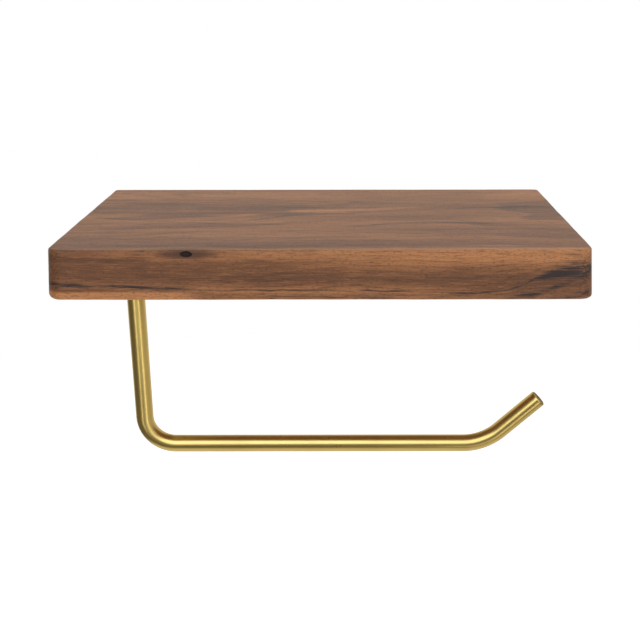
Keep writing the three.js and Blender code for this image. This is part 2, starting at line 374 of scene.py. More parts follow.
def filled(rings, shares):
    """The rings with flat rows added at both ends, drawn in towards the middle of each end."""
    first, last = rings[0].mean(axis=0), rings[-1].mean(axis=0)
    inwards = sorted(shares, reverse=True)
    above = [first + (rings[0] - first) * k for k in inwards[::-1]]
    below = [last + (rings[-1] - last) * k for k in inwards]
    return np.array([*above, *rings, *below]), first, last


def rounded_profile(low, high, edge, steps=4, support=1.6):
    """Insets and heights down the edge of a slab with both of its rims rounded."""
    turn = np.linspace(0, math.pi / 2, steps)
    over = np.concatenate([[support * edge], edge * (1 - np.sin(turn))])
    rise = np.concatenate([[0], edge * (1 - np.cos(turn))])
    insets = np.concatenate([over, over[::-1]])
    heights = np.concatenate([high - rise, low + rise[::-1]])
    return insets, heights


def slab(name, outline, low, high, edge):
    """A flat plate of an outline between two heights, with rounded rims."""
    rings = slab_rings(outline, *rounded_profile(low, high, edge))
    return ring_mesh(name, *filled(rings, [0.5]))


def prism(outline, low, high):
    """A cutter: an outline drawn between two heights, with square rims."""
    rings, top, bottom = filled(slab_rings(outline, [0, 0], [high, low]), [])
    return ring_mesh("cutter", rings, top, bottom)


def turned(name, radii, heights, steps=48, wave=None):
    """A profile turned about Z, listed from the top down.

    Each row is a circle of the row's radius at its height; wave, if given, is added to the radii
    and varies with row and angle.
    """
    turn = np.linspace(0, TURN, steps, endpoint=False)
    radius = np.asarray(radii, float)[:, None] + (0 if wave is None else wave)
    radius = np.broadcast_to(radius, (len(radii), steps))
    height = np.broadcast_to(np.asarray(heights, float)[:, None], radius.shape)
    rings = np.stack([radius * np.cos(turn), radius * np.sin(turn), height], axis=2)
    return ring_mesh(name, rings, (0, 0, heights[0]), (0, 0, heights[-1]))


def standing(mesh, x, z):
    """A mesh drawn in X and Y about its middle, stood up against the wall.

    Its Y becomes height and its Z becomes depth from the wall's plane into the board.
    """
    return moved(mesh, (x, float(BOARD_HIGH[1]), z), math.pi / 2)


# ---------------------------------------------------------------- shader expressions


def operator(operation, swapped=False):
    """A method of Value that adds one Math node, with its two operands swapped if asked."""

    def method(self, other):
        operands = (other, self) if swapped else (self, other)
        return self.graph.math(operation, *operands)

    return method


class Value:
    """A socket that carries a number. Sums, products and powers of it add Math nodes."""

    __add__, __radd__ = operator("ADD"), operator("ADD", swapped=True)
    __sub__, __rsub__ = operator("SUBTRACT"), operator("SUBTRACT", swapped=True)
    __mul__, __rmul__ = operator("MULTIPLY"), operator("MULTIPLY", swapped=True)
    __truediv__ = operator("DIVIDE")
    __pow__ = operator("POWER")

    def __init__(self, graph, socket):
        self.graph = graph
        self.socket = socket

    def __neg__(self):
        return self * -1.0

    def __abs__(self):
        return self.graph.math("ABSOLUTE", self)


class Graph:
    """The node tree of one material."""

    def __init__(self, name):
        self.material = bpy.data.materials.new(name)
        self.material.use_nodes = True
        self.tree = self.material.node_tree
        self.shader = next(n for n in self.tree.nodes if n.type == "BSDF_PRINCIPLED")

    @classmethod
    def of_tree(cls, tree):
        """A graph that adds to a node tree that is already there."""
        graph = cls.__new__(cls)
        graph.tree = tree
        return graph

    def node(self, kind, settings=None, inputs=None):
        """A node of a type, with its settings set first and then its sockets' values or links."""
        made = self.tree.nodes.new(kind)
        for key, value in (settings or {}).items():
            if key == "stops":
                self._set_stops(made.color_ramp, value)
            elif key == "curve":
                self._set_curve(made.mapping, value)
            else:
                setattr(made, key, value)
        for key, value in (inputs or {}).items():
            self.feed(made.inputs[key], value)
        return made

    def feed(self, socket, value):
        """Links a value to a socket, or sets the socket to a number or colour."""
        if isinstance(value, Value):
            self.tree.links.new(value.socket, socket)
        else:
            socket.default_value = value

    def _set_stops(self, ramp, stops):
        while len(ramp.elements) < len(stops):
            ramp.elements.new(0.5)
        for element, (position, stop_colour) in zip(ramp.elements, stops):
            element.position = position
            element.color = (*stop_colour, 1)

    def _set_curve(self, mapping, points):
        line = mapping.curves[0]
        while len(line.points) < len(points):
            line.points.new(0.5, 0.5)
        for point, place in zip(line.points, points):
            point.location = place
            point.handle_type = "AUTO"
        mapping.update()

    def out(self, node, socket=0):
        return Value(self, node.outputs[socket])

    def math(self, operation, *operands):
        return self.out(
            self.node("ShaderNodeMath", {"operation": operation}, dict(enumerate(operands)))
        )

    def smallest(self, a, b):
        return self.math("MINIMUM", a, b)

    def largest(self, *values):
        """The largest of two or more."""
        return functools.reduce(lambda a, b: self.math("MAXIMUM", a, b), values)

    def place(self):
        """Object coordinates."""
        return self.out(self.node("ShaderNodeTexCoord"), "Object")

    def parts(self, vector):
        """The X, Y and Z of a vector."""
        split = self.node("ShaderNodeSeparateXYZ", None, {0: vector})
        return tuple(self.out(split, i) for i in range(3))

    def mapped(self, vector, scale, location=(0, 0, 0), rotation=(0, 0, 0)):
        inputs = {"Vector": vector, "Scale": scale, "Location": location, "Rotation": rotation}
        return self.out(self.node("ShaderNodeMapping", None, inputs))

    def noise(self, vector, scale=1.0, detail=2.0, roughness=0.5, distortion=0.0):
        inputs = {
            "Vector": vector,
            "Scale": scale,
            "Detail": detail,
            "Roughness": roughness,
            "Distortion": distortion,
        }
        return self.out(self.node("ShaderNodeTexNoise", None, inputs))

    def smooth(self, value, low, high):
        """0 below low, 1 above high, and a smooth step between."""
        inputs = {0: value, 1: low, 2: high, 3: 0.0, 4: 1.0}
        return self.out(
            self.node("ShaderNodeMapRange", {"interpolation_type": "SMOOTHSTEP"}, inputs)
        )

    def line(self, value, value_range, points, result_range):
        """A smooth curve through given points, each in the two ranges given."""
        (a, b), (c, d) = value_range, result_range
        scaled = [((x - a) / (b - a), (y - c) / (d - c)) for x, y in points]
        curve = self.node(
            "ShaderNodeFloatCurve", {"curve": scaled}, {1: (value - a) / (b - a)}
        )
        return self.out(curve) * (d - c) + c

    def mix(self, factor, a, b, blend="MIX"):
        inputs = {0: factor, 6: self.rgba(a), 7: self.rgba(b)}
        settings = {"data_type": "RGBA", "blend_type": blend}
        return self.out(self.node("ShaderNodeMix", settings, inputs), 2)

    @staticmethod
    def rgba(value):
        return value if isinstance(value, Value) else (*value, 1.0)

    def ramp(self, value, stops):
        return self.out(self.node("ShaderNodeValToRGB", {"stops": stops}, {0: value}))

    def attribute(self, name):
        """A node that reads one of the mesh's own attributes."""
        return self.node("ShaderNodeAttribute", {"attribute_name": name})

    def vector(self, operation, vector, inputs=None):
        """A Vector Math node."""
        sockets = {0: vector, **(inputs or {})}
        return self.out(self.node("ShaderNodeVectorMath", {"operation": operation}, sockets))

    def bump(self, height, distance, strength=1.0):
        inputs = {"Strength": strength, "Distance": distance, "Height": height}
        return self.out(self.node("ShaderNodeBump", None, inputs))

    def finish(self, **sockets):
        """Feeds the shader's sockets. An underscore in a name stands for a space."""
        for key, value in sockets.items():
            self.feed(self.shader.inputs[key.replace("_", " ")], value)
        return self.material


# ---------------------------------------------------------------- walnut


def mm(*places):
    """Places given in millimetres, in metres."""
    return [(x * MM, y * MM) for x, y in places]


def vein(graph, along, across, path, half_width, fade=0.02):
    """1 on a wandering line and 0 beside it, fading in and out at the line's two ends.

    path holds places (along, across) in metres; half_width may be a number or a value.
    """
    first, last = path[0][0], path[-1][0]
    levels = [place[1] for place in path]
    spread = (min(levels) - MM, max(levels) + MM)
    centre = graph.line(along, (first, last), path, spread)
    near = 1 - graph.smooth(abs(across - centre), 0.0, half_width)
    near = near * graph.smooth(along, first, first + fade)
    return near * (1 - graph.smooth(along, last - fade, last))


FLAME_LINE = mm(
    (-108, -3.0), (-89, -4.5), (-74, -4.7), (-58, -5.2), (-28, -5.8), (18, -6.1), (45, -6.8),
    (62, -6.9), (70, -6.3), (76, -4.7), (80, -2.9), (84.5, -0.8), (89, 0.0), (93, 0.7), (98, 1.5),
    (104, 2.1), (109, 2.4),
)
TOP_VEIN = mm(
    (-36, -70), (-24, -65), (-17, -60.5), (-7, -58.2), (7, -55.8), (28, -51), (48, -48.6),
    (66, -44.5), (77, -42.5), (108, -42),
)
TOP_SECOND = mm((2, -81), (18, -79), (26, -76.8), (38, -74.6), (50, -74), (68, -74.6), (80, -78))
TOP_BAND = mm(
    (-108, -33), (-72, -36), (-53, -42), (-35, -45), (-17, -43), (6, -40), (16, -33), (34, -31)
)
TOP_LEFT = mm((-108, -60), (-84, -67), (-66, -71.5), (-49, -74.5), (-28, -73))
TOP_PALE = mm((-56, -64), (-38, -60), (-25, -53.5), (-8, -50.5), (8, -49), (35, -44), (58, -40))
LOW_LINE = mm((-30, -8.3), (-5, -8.5), (14, -8.9), (40, -9.2))
END_STREAK = mm(
    (70, -9.2), (83, -8), (87, -6.6), (91, -4.8), (95, -2.7), (100, -0.8), (104, -0.1), (108, 0.2)
)
END_LOW = mm((86, -9.9), (93, -9.3), (97, -8.4), (101, -7.4), (108, -7.2))
END_HAZE = mm((86, 3.0), (94, 3.6), (100, 4.8), (109, 5.4))


def ring_tone(graph, place, settings, top):
    """The growth rings: dark late wood at each ring's edge, more in some years than in others.

    A ring is where the distance from the pith, pushed about by a slow drift, is the same.
    """
    x, y, z = graph.parts(place)
    drift = graph.noise(graph.mapped(place, (6, 24, 24)), detail=2.5, roughness=0.55) - 0.5
    ripple = graph.noise(graph.mapped(place, (20, 150, 150)), detail=3.0, roughness=0.6) - 0.5
    lift = graph.smooth(x, 0.055, 0.105) * 0.005
    back = y + settings.pith_back
    up = z + (settings.pith_below + top) - lift
    radius = (back * back + up * up) ** 0.5 + drift * 0.026 + ripple * 0.0034
    phase = radius / settings.ring
    year = graph.math("FRACT", phase)
    late = year**2.0 * (1 - graph.smooth(year, 0.90, 1.0))
    thin = graph.math("FRACT", phase * 4.3)
    thin_late = thin**3.0 * (1 - graph.smooth(thin, 0.86, 1.0))
    yearly = graph.noise(graph.mapped(place, (4, 60, 60)), detail=1.5)
    strong_years = late * graph.smooth(yearly, 0.38, 0.66) * 0.5
    return strong_years + thin_late * (1 - graph.smooth(yearly, 0.4, 0.6)) * 0.30


def front_bands_and_painted_light(graph, x, z):
    """How much paler or darker the front face is than the rings: the wood's paler bands above, below
    and at the lower left, painted light that makes the upper band paler towards the right, and painted
    shade at the upper left end.
    """
    # Painted light: the upper band grows paler towards the right end, on top of the wood's own paler
    # band.
    rise = graph.smooth(x, -0.060, 0.065) + graph.smooth(x, 0.02, 0.06) * 0.10
    paler_above = graph.smooth(z, -0.0035, 0.0090) * (0.78 + rise * 0.62)
    paler_below = (1 - graph.smooth(z, -0.0070, -0.0005)) * (0.98 - graph.smooth(x, 0.02, 0.07) * 0.5)
    left_glow = (1 - graph.smooth(z, -0.0074, -0.0052)) * (1 - graph.smooth(x, -0.062, -0.025)) * 1.75
    # Painted shade: the upper front is darker at the left end.
    painted_left_end_shade = (1 - graph.smooth(x, -0.104, -0.078)) * graph.smooth(z, -0.002, 0.004) * 0.30
    return graph.largest(paler_above, paler_below, left_glow) - painted_left_end_shade


def walnut_material(settings, board):
    """Solid walnut: growth rings about a pith under the board, fibres, pores, veins and a knot;
    painted light and shade on the front face, and painted shade in the knot's hollow.
    """
    graph = Graph("walnut_oiled")
    place = graph.place()
    x, y, z = graph.parts(place)
    top = float(BOARD_HIGH[2])
    front = float(BOARD_LOW[1])
    near_front = 1 - graph.smooth(y, front + 0.0004, front + 0.0050)
    round_corner = 1 - graph.smooth(y, front + 0.0020, front + 0.0066)
    below_top = 1 - graph.smooth(z, top - 0.005, top - 0.001)
    on_front = graph.largest(near_front, round_corner * below_top)
    on_top = graph.smooth(z, top - 0.0030, top - 0.0006) * (1 - near_front)

    # Tone from 0, the darkest brown, to 1, the palest: rings, clouds and each face's own figure, with
    # painted light and shade on the front face.
    cloud = graph.noise(graph.mapped(place, (11, 70, 70), (0.3, 0, 0)), detail=4.0, roughness=0.62)
    wide = graph.noise(graph.mapped(place, (5, 18, 18), (0.1, 0.7, 0)), detail=2.0)
    long = graph.noise(graph.mapped(place, (3, 42, 42), (0.6, 0.2, 0)), detail=3.0)
    tone = 0.46 + (cloud - 0.5) * 0.80 * (1 - on_top * 0.5) + (wide - 0.5) * 0.45
    tone = tone + (long - 0.5) * on_top * 0.85 - ring_tone(graph, place, settings, top)
    tone = tone + on_front * (front_bands_and_painted_light(graph, x, z) * 0.62 - 0.20)
    behind = graph.smooth(y, -0.040, -0.008) * 0.22
    pale_streak = vein(graph, x, y, TOP_PALE, 0.0042, 0.03) * 0.26
    soft_band = vein(graph, x, y, TOP_BAND, 0.0075, 0.03) * 0.30
    tone = tone + on_top * (behind + pale_streak - soft_band + 0.05)
    colour_now = graph.ramp(
        tone, [(0.0, settings.dark), (0.48, settings.middle), (1.0, settings.light)]
    )

    # Fibres run along X: streaks, finer streaks, and short dark pores.
    calm = 1 - on_top * 0.4
    fibre = graph.noise(graph.mapped(place, (24, 560, 560)), detail=4.0, roughness=0.7)
    hair = graph.noise(graph.mapped(place, (120, 2300, 2300)), detail=3.0, roughness=0.7)
    pore_field = graph.noise(graph.mapped(place, (620, 3600, 3600), (0.1, 0, 0)), detail=1.5)
    pore = graph.smooth(pore_field, 0.56, 0.66) * calm
    colour_now = graph.mix(graph.smooth(fibre, 0.50, 0.74) * 0.55 * calm, colour_now, settings.dark)
    colour_now = graph.mix((1 - graph.smooth(fibre, 0.28, 0.50)) * 0.24, colour_now, settings.light)
    colour_now = graph.mix((1 - graph.smooth(hair, 0.26, 0.50)) * 0.44, colour_now, settings.light)
    colour_now = graph.mix(graph.smooth(hair, 0.51, 0.68) * 0.66, colour_now, settings.dark)
    colour_now = graph.mix(pore * 0.50, colour_now, settings.streak)

    # Veins: dark lines that waver with the grain and break up along their length.
    waver = (graph.noise(graph.mapped(place, (55, 90, 90)), detail=3.0) - 0.5) * 0.0017
    broken = graph.smooth(graph.noise(graph.mapped(place, (60, 700, 700)), detail=3.0), 0.36, 0.58)
    at_left = 1 - graph.smooth(x, -0.062, -0.035)
    at_right = graph.smooth(x, 0.080, 0.090)
    flame_width = 0.0007 + at_left * 0.0009 + at_right * 0.0026
    flame = vein(graph, x, z + waver, FLAME_LINE, flame_width, 0.002)
    flame = flame * (0.78 + at_left * 0.12 + at_right * 0.6)
    haze = vein(graph, x, z - waver, END_HAZE, 0.0036, 0.008) * 0.55
    low = vein(graph, x, z + waver, LOW_LINE, 0.0006) * 0.55
    end = vein(graph, x, z + waver * 1.5, END_STREAK, 0.0019, 0.008) * 0.9
    end_low = vein(graph, x, z + waver * 1.5, END_LOW, 0.0019, 0.006) * 0.85
    on_face = graph.largest(flame, low, end, end_low, haze)
    middle_gap = 1 - graph.smooth(x, 0.012, 0.030) * (1 - graph.smooth(x, 0.052, 0.068)) * 0.75
    top_vein = vein(graph, x, y + waver * 2.5, TOP_VEIN, 0.0026, 0.012) * middle_gap * 0.72
    top_second = vein(graph, x, y + waver * 2.5, TOP_SECOND, 0.0026, 0.018) * 0.72
    top_left = vein(graph, x, y + waver * 2.5, TOP_LEFT, 0.0020, 0.018) * 0.40
    on_board = graph.largest(top_vein, top_second, top_left)
    fibrous = 0.62 + graph.smooth(hair, 0.36, 0.62) * 0.65
    veins = graph.largest(on_face * on_front, on_board * on_top) * (0.30 + broken * 0.85) * fibrous
    colour_now = graph.mix(graph.smallest(veins, 0.95), colour_now, settings.streak)

    # The knot: the knot's dark wood, painted near black with the shade of its hollow, and the dark
    # wood that flows round it.
    from_knot = x - board.knot_x
    knot_z = z - (top - board.knot_below) + waver * 0.5
    reach = (from_knot / 0.0150) ** 2.0 + (knot_z / 0.0026) ** 2.0
    around = (1 - graph.smooth(reach, 0.05, 1.0)) * 0.95
    heart_reach = (from_knot / (board.knot_length * 0.56)) ** 2.0
    # Painted shade: the knot's hollow is painted near black on top of the dark knot wood.
    heart_and_shade = 1 - graph.smooth(heart_reach + (knot_z / (board.knot_height * 0.58)) ** 2.0, 0.6, 1.15)
    colour_now = graph.mix(around * on_front, colour_now, settings.dark)
    colour_now = graph.mix(heart_and_shade * 0.92 * on_front, colour_now, settings.knot)

    relief = hair * 0.5 + fibre * 0.6 - pore * 0.9
    return graph.finish(
        Base_Color=colour_now,
        Roughness=0.46 + (fibre - 0.5) * 0.14 + pore * 0.18 + heart_and_shade * 0.4,
        Specular_IOR_Level=0.36,
        Normal=graph.bump(relief, 0.00006, 0.8),
    )


# ---------------------------------------------------------------- metals

BRASS_COAT = 0.3
BRASS_COAT_ROUGHNESS = 0.25

def scaled(tint, factor):
    """A colour times a factor."""
    return tuple(c * factor for c in tint)


def brass_material(settings):
    """Satin brass, rubbed with fine marks, with a faint bloom."""
    graph = Graph("brass_satin")
    place = graph.place()
    bloom = graph.noise(graph.mapped(place, (55, 55, 55)), detail=3.0)
    grain = graph.noise(graph.mapped(place, (900, 900, 900)), detail=3.0, roughness=0.7)
    worn = scaled(settings.brass, 0.86)
    return graph.finish(
        Base_Color=graph.mix(graph.smooth(bloom, 0.35, 0.75), settings.brass, worn),
        Metallic=1.0,
        Coat_Weight=BRASS_COAT,
        Coat_Roughness=BRASS_COAT_ROUGHNESS,
        Roughness=settings.brass_roughness + (bloom - 0.5) * 0.06 + (grain - 0.5) * 0.06,
        Normal=graph.bump(grain, 0.00001, 0.35),
    )


def rod_material(settings):
    """Satin brass brushed round the rod, which draws a reflection out along the rod.

    On the upright leg that brings the lights above it into view, so there the surface's normal is
    tipped by the mesh's own rod_lift. The end face is darker and rougher than the rest.
    """
    graph = Graph("brass_brushed_rod")
    place = graph.place()
    bloom = graph.noise(graph.mapped(place, (45, 45, 45)), detail=3.0)
    grain = graph.noise(graph.mapped(place, (700, 700, 700)), detail=2.0)
    dark_end = graph.out(graph.attribute("rod_end"), "Fac")
    lift = graph.out(graph.attribute("rod_lift"), "Vector")
    normal = graph.out(graph.node("ShaderNodeNewGeometry"), "Normal")
    worn = scaled(settings.brass, 0.88)
    dull = scaled(settings.brass, 0.26)
    polished = graph.mix(graph.smooth(bloom, 0.35, 0.75), settings.brass, worn)
    return graph.finish(
        Base_Color=graph.mix(dark_end, polished, dull),
        Metallic=1.0,
        Coat_Weight=BRASS_COAT - dark_end * BRASS_COAT,
        Coat_Roughness=BRASS_COAT_ROUGHNESS,
        Roughness=settings.brass_roughness + (bloom + grain - 1) * 0.05 + dark_end * 0.35,
        Normal=graph.vector("NORMALIZE", graph.vector("ADD", normal, {1: lift})),
    )


def zinc_material(settings):
    """Zinc plating: a cool grey metal with cloudy patches and fine scratches."""
    graph = Graph("zinc_plated")
    place = graph.place()
    patches = graph.noise(graph.mapped(place, (180, 180, 180)), detail=4.0, roughness=0.6)
    scratches = graph.noise(graph.mapped(place, (150, 4000, 2200), (0, 0, 0), (0, 0.4, 0)), detail=2.0)
    dull = scaled(settings.zinc, 0.78)
    return graph.finish(
        Base_Color=graph.mix(graph.smooth(patches, 0.38, 0.66), settings.zinc, dull),
        Metallic=1.0,
        Roughness=settings.zinc_roughness + (patches - 0.5) * 0.22 + (scratches - 0.5) * 0.10,
        Normal=graph.bump(scratches, 0.00001, 0.5),
    )


def brass(context):
    return bpy.data.materials.get("brass_satin") or brass_material(context.scene.paper_holder.metal)


def zinc(context):
    return bpy.data.materials.get("zinc_plated") or zinc_material(context.scene.paper_holder.metal)


# ---------------------------------------------------------------- shelf board


def near_knot(count, middle, reach, length_of_run):
    """Shares of a run with a point every few millimetres, and many of them round the knot."""
    coarse = np.linspace(0, 1, count, endpoint=False)
    fine = middle + np.linspace(-reach, reach, 61) / length_of_run
    outside = coarse[np.abs(coarse - middle) * length_of_run > reach * 1.05]
    return np.sort(np.concatenate([outside, fine]))


def board_outline(settings, left, right):
    """The board's outline at the top face, seen from above."""
    front, back = BOARD_LOW[1], BOARD_HIGH[1]
    inner = left + settings.front_corner
    span = right - left - 2 * settings.front_corner
    front_places = near_knot(70, (settings.knot_x - inner) / span, 0.0042, span)
    runs = (front_places, even(40), even(70), even(40))
    return rounded_outline(
        (left, front), (right, back), settings.front_corner, settings.back_corner, runs, 14
    )


def wear_along(outline):
    """A slow, uneven drift from -1 to 1 round the outline: three sines of its length."""
    points, _ = outline
    steps = np.linalg.norm(np.diff(points, axis=0, append=points[:1]), axis=1)
    turn = TURN * np.cumsum(steps) / steps.sum()
    return (np.sin(7 * turn + 1.3) + np.sin(17 * turn + 0.4) + 0.7 * np.sin(41 * turn)) / 2.7


BACK_CLEARANCE = 0.4


def board_rings(settings):
    """The board's side, from inside its top rim to inside its lower rim.

    A quarter circle rounds each rim. The lower one's radius is the arris along the front and back,
    and grows on the ends as the outline's normal turns to point along X. It stays the arris up to
    BACK_CLEARANCE of a front corner's radius from the back, and grows to full over one radius
    more, so that no ring folds at a back corner. Then every point moves outwards along X, by
    nothing at the top face and by the lean at the underside.
    """
    low, high = float(BOARD_LOW[2]), float(BOARD_HIGH[2])
    thickness = high - low
    middle = (BOARD_LOW[0] + BOARD_HIGH[0]) / 2
    half = settings.width / 2
    outline = board_outline(settings, middle - half, middle + half)
    points, normals = outline
    wear = 1 + settings.arris_wear * wear_along(outline)
    top_round = settings.arris * wear
    behind = (BOARD_HIGH[1] - points[:, 1]) / settings.front_corner
    from_back = np.clip(behind - BACK_CLEARANCE, 0, 1)
    leftwards = np.clip(-normals[:, 0], 0, 1) * from_back
    rightwards = np.clip(normals[:, 0], 0, 1) * from_back
    low_round = (
        settings.arris * wear
        + (settings.left_round - settings.arris) * leftwards**2
        + (settings.right_round - settings.arris) * rightwards**2
    )
    quarter = np.linspace(0, math.pi / 2, 8)[:, None]
    top_inset = top_round * (1 - np.sin(quarter))
    top_height = high - top_round * (1 - np.cos(quarter))
    low_inset = (low_round * (1 - np.sin(quarter)))[::-1]
    low_height = (low + low_round * (1 - np.cos(quarter)))[::-1]
    down = np.concatenate([np.linspace(0, 0.16, 14), np.linspace(0.2, 1, 14)])[1:-1, None]
    side_height = top_height[-1] + (low_height[0] - top_height[-1]) * down
    support = 0.0004
    insets = np.concatenate(
        [top_inset[:1] + support, top_inset, 0 * side_height, low_inset, low_inset[-1:] + support]
    )
    heights = np.concatenate(
        [top_height[:1], top_height, side_height, low_height, low_height[-1:]]
    )
    rings = slab_rings(outline, insets, heights)
    sink_knot(settings, rings)
    below = (high - rings[..., 2]) / thickness
    rings[..., 0] = middle + (rings[..., 0] - middle) * (1 + below * settings.end_lean / half)
    return rings


def sink_knot(settings, rings):
    """Pushes the front face in over an ellipse: as deep as a dome over it is high."""
    x = (rings[..., 0] - settings.knot_x) / (settings.knot_length / 2)
    z = (rings[..., 2] - (BOARD_HIGH[2] - settings.knot_below)) / (settings.knot_height / 2)
    rim = 1 + 0.10 * np.sin(5 * np.arctan2(z, x) + 0.8)
    inside = np.clip(1 - (x**2 + z**2) / rim, 0, None)
    on_front = rings[..., 1] < BOARD_LOW[1] + 2 * settings.arris
    rings[..., 1] += np.where(on_front, settings.knot_depth * np.sqrt(inside), 0)


def pilot_hole(radius, depth):
    """A cutter for a screw's hole, from a little above Z = 0 down to a pointed end."""
    radii = [radius, radius, radius * 0.05]
    return turned("cutter", radii, [2 * MM, -depth + radius, -depth], 32)


def keyhole_places():
    """X and Z of the middles of the two keyhole plates."""
    names = ("keyhole_plate_left", "keyhole_plate_right")
    return {name: tuple(node_middle(name)[[0, 2]]) for name in names}


def board_cutters(plates):
    """What is taken out of the board: recesses, head pockets and holes for the screws."""
    cutters = []
    radius = plates.entry_diameter / 2 + plates.pocket_margin
    for name, middle in keyhole_places().items():
        low, high = node_box(name)
        half_height = (high[2] - low[2]) / 2
        depth = high[1] - low[1]
        reach = (high[0] - low[0]) / 2 - half_height
        recess = obround_outline((-reach, 0), (reach, 0), half_height + plates.recess_gap)
        pocket = obround_outline((0, -plates.entry_drop), (0, plates.slot_rise), radius)
        cutters.append(standing(prism(recess, -2 * MM, depth), *middle))
        cutters.append(standing(prism(pocket, -1 * MM, depth + plates.pocket_depth), *middle))
    for name in screw_names():
        low, high = node_box(name)
        x, y, z = node_middle(name)
        if name.startswith("keyhole"):
            hole = pilot_hole(KEYHOLE_SCREW.shank + plates.hole_gap, high[1] - low[1] + 1 * MM)
            cutters.append(moved(hole, (x, high[1], z), -math.pi / 2))
        else:
            hole = pilot_hole(PLATE_SCREW.shank + plates.hole_gap, high[2] - low[2] + 1 * MM)
            cutters.append(moved(hole, (x, y, low[2]), math.pi))
    return cutters


def screw_names():
    """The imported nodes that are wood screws."""
    return sorted(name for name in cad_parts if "_screw_" in name)


class PAPERHOLDER_OT_shelf_board(bpy.types.Operator):
    """Builds the walnut shelf board with its recesses and its open knot."""

    bl_idname = "paper_holder.shelf_board"
    bl_label = "Shelf board"

    def execute(self, context):
        settings = context.scene.paper_holder
        rings = board_rings(settings.board)
        mesh = ring_mesh("board_walnut", *filled(rings, [0.3, 0.6, 0.85, 0.95]))
        piece = cut(new_object("board_walnut", mesh), board_cutters(settings.plates))
        material = walnut_material(settings.walnut, settings.board)
        finish_piece(piece, material, ["shelf_board"])
        return {"FINISHED"}


# ---------------------------------------------------------------- arm


def arm_line(settings, radius):
    """The rod's centreline in X and Z, with its heading at each point.

    A leg down, an arc of a quarter turn, the bar, an arc of the tip's angle, and the tip.
    """
    tip_angle = settings.tip_angle
    leg_x = float(ARM_LOW[0]) + radius
    bar_z = float(ARM_LOW[2]) + radius
    tip_x = float(ARM_HIGH[0]) - radius * math.sin(tip_angle)
    corner_x = tip_x - settings.tip_length * math.cos(tip_angle)
    setback = settings.tip_bend * math.tan(tip_angle / 2)
    leg = np.linspace(float(ARM_HIGH[2]), bar_z + settings.leg_bend, 30, endpoint=False)
    down = [(leg_x, z, -math.pi / 2) for z in leg]
    first = bend(leg_x + settings.leg_bend, bar_z, settings.leg_bend, -math.pi / 2, 0, 28)
    bar_start, bar_end = leg_x + settings.leg_bend, corner_x - setback
    bar = [(x, bar_z, 0) for x in np.linspace(bar_start, bar_end, 40, endpoint=False)[1:]]
    second = bend(bar_end, bar_z, settings.tip_bend, 0, tip_angle, 24)
    start = second[-1]
    tip_z = bar_z + settings.tip_length * math.sin(tip_angle)
    rise = [
        (start[0] + (tip_x - start[0]) * t, start[1] + (tip_z - start[1]) * t, tip_angle)
        for t in np.linspace(0, 1, 13)[1:]
    ]
    return np.array(down + first + bar + second + rise)


def bend(centre_x, lowest_z, radius, start, end, steps):
    """Places and headings on an arc that turns upwards and is lowest at lowest_z."""
    headings = np.linspace(start, end, steps)
    return [
        (centre_x + radius * math.sin(h), lowest_z + radius * (1 - math.cos(h)), h)
        for h in headings
    ]


def carried_circles(stops, radii, depth, steps=64):
    """A circle carried along a line in the plane Y = depth, square to its heading.

    A point is centre + radius (cos t up + sin t side), where side is +Y and up is the heading
    turned by a quarter turn.
    """
    turn = np.linspace(0, TURN, steps, endpoint=False)
    x, z, heading = stops.T
    up = np.stack([-np.sin(heading), 0 * heading, np.cos(heading)], axis=1)
    centre = np.stack([x, 0 * x + depth, z], axis=1)
    side = np.array([0.0, 1.0, 0.0])
    spoke = np.cos(turn)[None, :, None] * up[:, None, :] + np.sin(turn)[None, :, None] * side
    return centre[:, None, :] + radii[:, None, None] * spoke


def arm_mesh(settings):
    """The rod, from the bottom of the tapped hole in its top, over its rim and along to the tip."""
    radius = float(ARM_HIGH[1] - ARM_LOW[1]) / 2
    depth = float(ARM_HIGH[1] + ARM_LOW[1]) / 2
    line = arm_line(settings, radius)
    top = line[0]
    hole = settings.thread_radius
    bottom = top + [0, -settings.thread_depth, 0]
    before = [(bottom, hole * 0.02), (bottom, hole), (top + [0, -0.4 * MM, 0], hole)]
    before += [(top, hole + 0.4 * MM), (top, radius - 0.3 * MM), (top + [0, -0.3 * MM, 0], radius)]
    quarter = np.linspace(0, math.pi / 2, 8)[1:]
    end, heading = line[-1], line[-1, 2]
    onward = np.array([math.cos(heading), math.sin(heading), 0])
    rim = settings.end_round
    body = line[1:-1]
    cap = [end + onward * rim * (math.sin(t) - 1) for t in quarter]
    cap_radii = [radius - rim * (1 - math.cos(t)) for t in quarter]
    neck = end - onward * rim
    stops = np.array([s for s, _ in before] + list(body) + [neck] + cap + [cap[-1]] * 2)
    radii = np.array(
        [r for _, r in before] + [radius] * (len(body) + 1) + cap_radii
        + [cap_radii[-1] * 0.6, cap_radii[-1] * 0.2]
    )
    rings = carried_circles(stops, radii, depth)
    first = (bottom[0], depth, bottom[1])
    last = (end[0], depth, end[1])
    mesh = ring_mesh("arm_brass", rings, first, last)
    down = np.clip(-np.sin(stops[:, 2]), 0, 1) ** 2
    dark_end = np.clip((radius - radii) / rim, 0, 1) * (stops[:, 0] > 0)
    per_ring = np.column_stack([0 * down, 0 * down, settings.leg_lift * down, dark_end])
    per_point = np.repeat(per_ring, rings.shape[1], axis=0)
    per_point = np.vstack([per_point, per_ring[:1], per_ring[-1:]])
    add_attribute(mesh, "rod_lift", "FLOAT_VECTOR", "vector", per_point[:, :3])
    add_attribute(mesh, "rod_end", "FLOAT", "value", per_point[:, 3])
    return mesh


class PAPERHOLDER_OT_roll_arm(bpy.types.Operator):
    """Builds the bent brass rod that holds the roll."""

    bl_idname = "paper_holder.roll_arm"
    bl_label = "Roll arm"

    def execute(self, context):
        piece = new_object("arm_brass", arm_mesh(context.scene.paper_holder.arm))
        material = rod_material(context.scene.paper_holder.metal)
        finish_piece(piece, material, ["roll_arm"])
        return {"FINISHED"}


# ---------------------------------------------------------------- fasteners


ROWS_PER_PITCH = 8


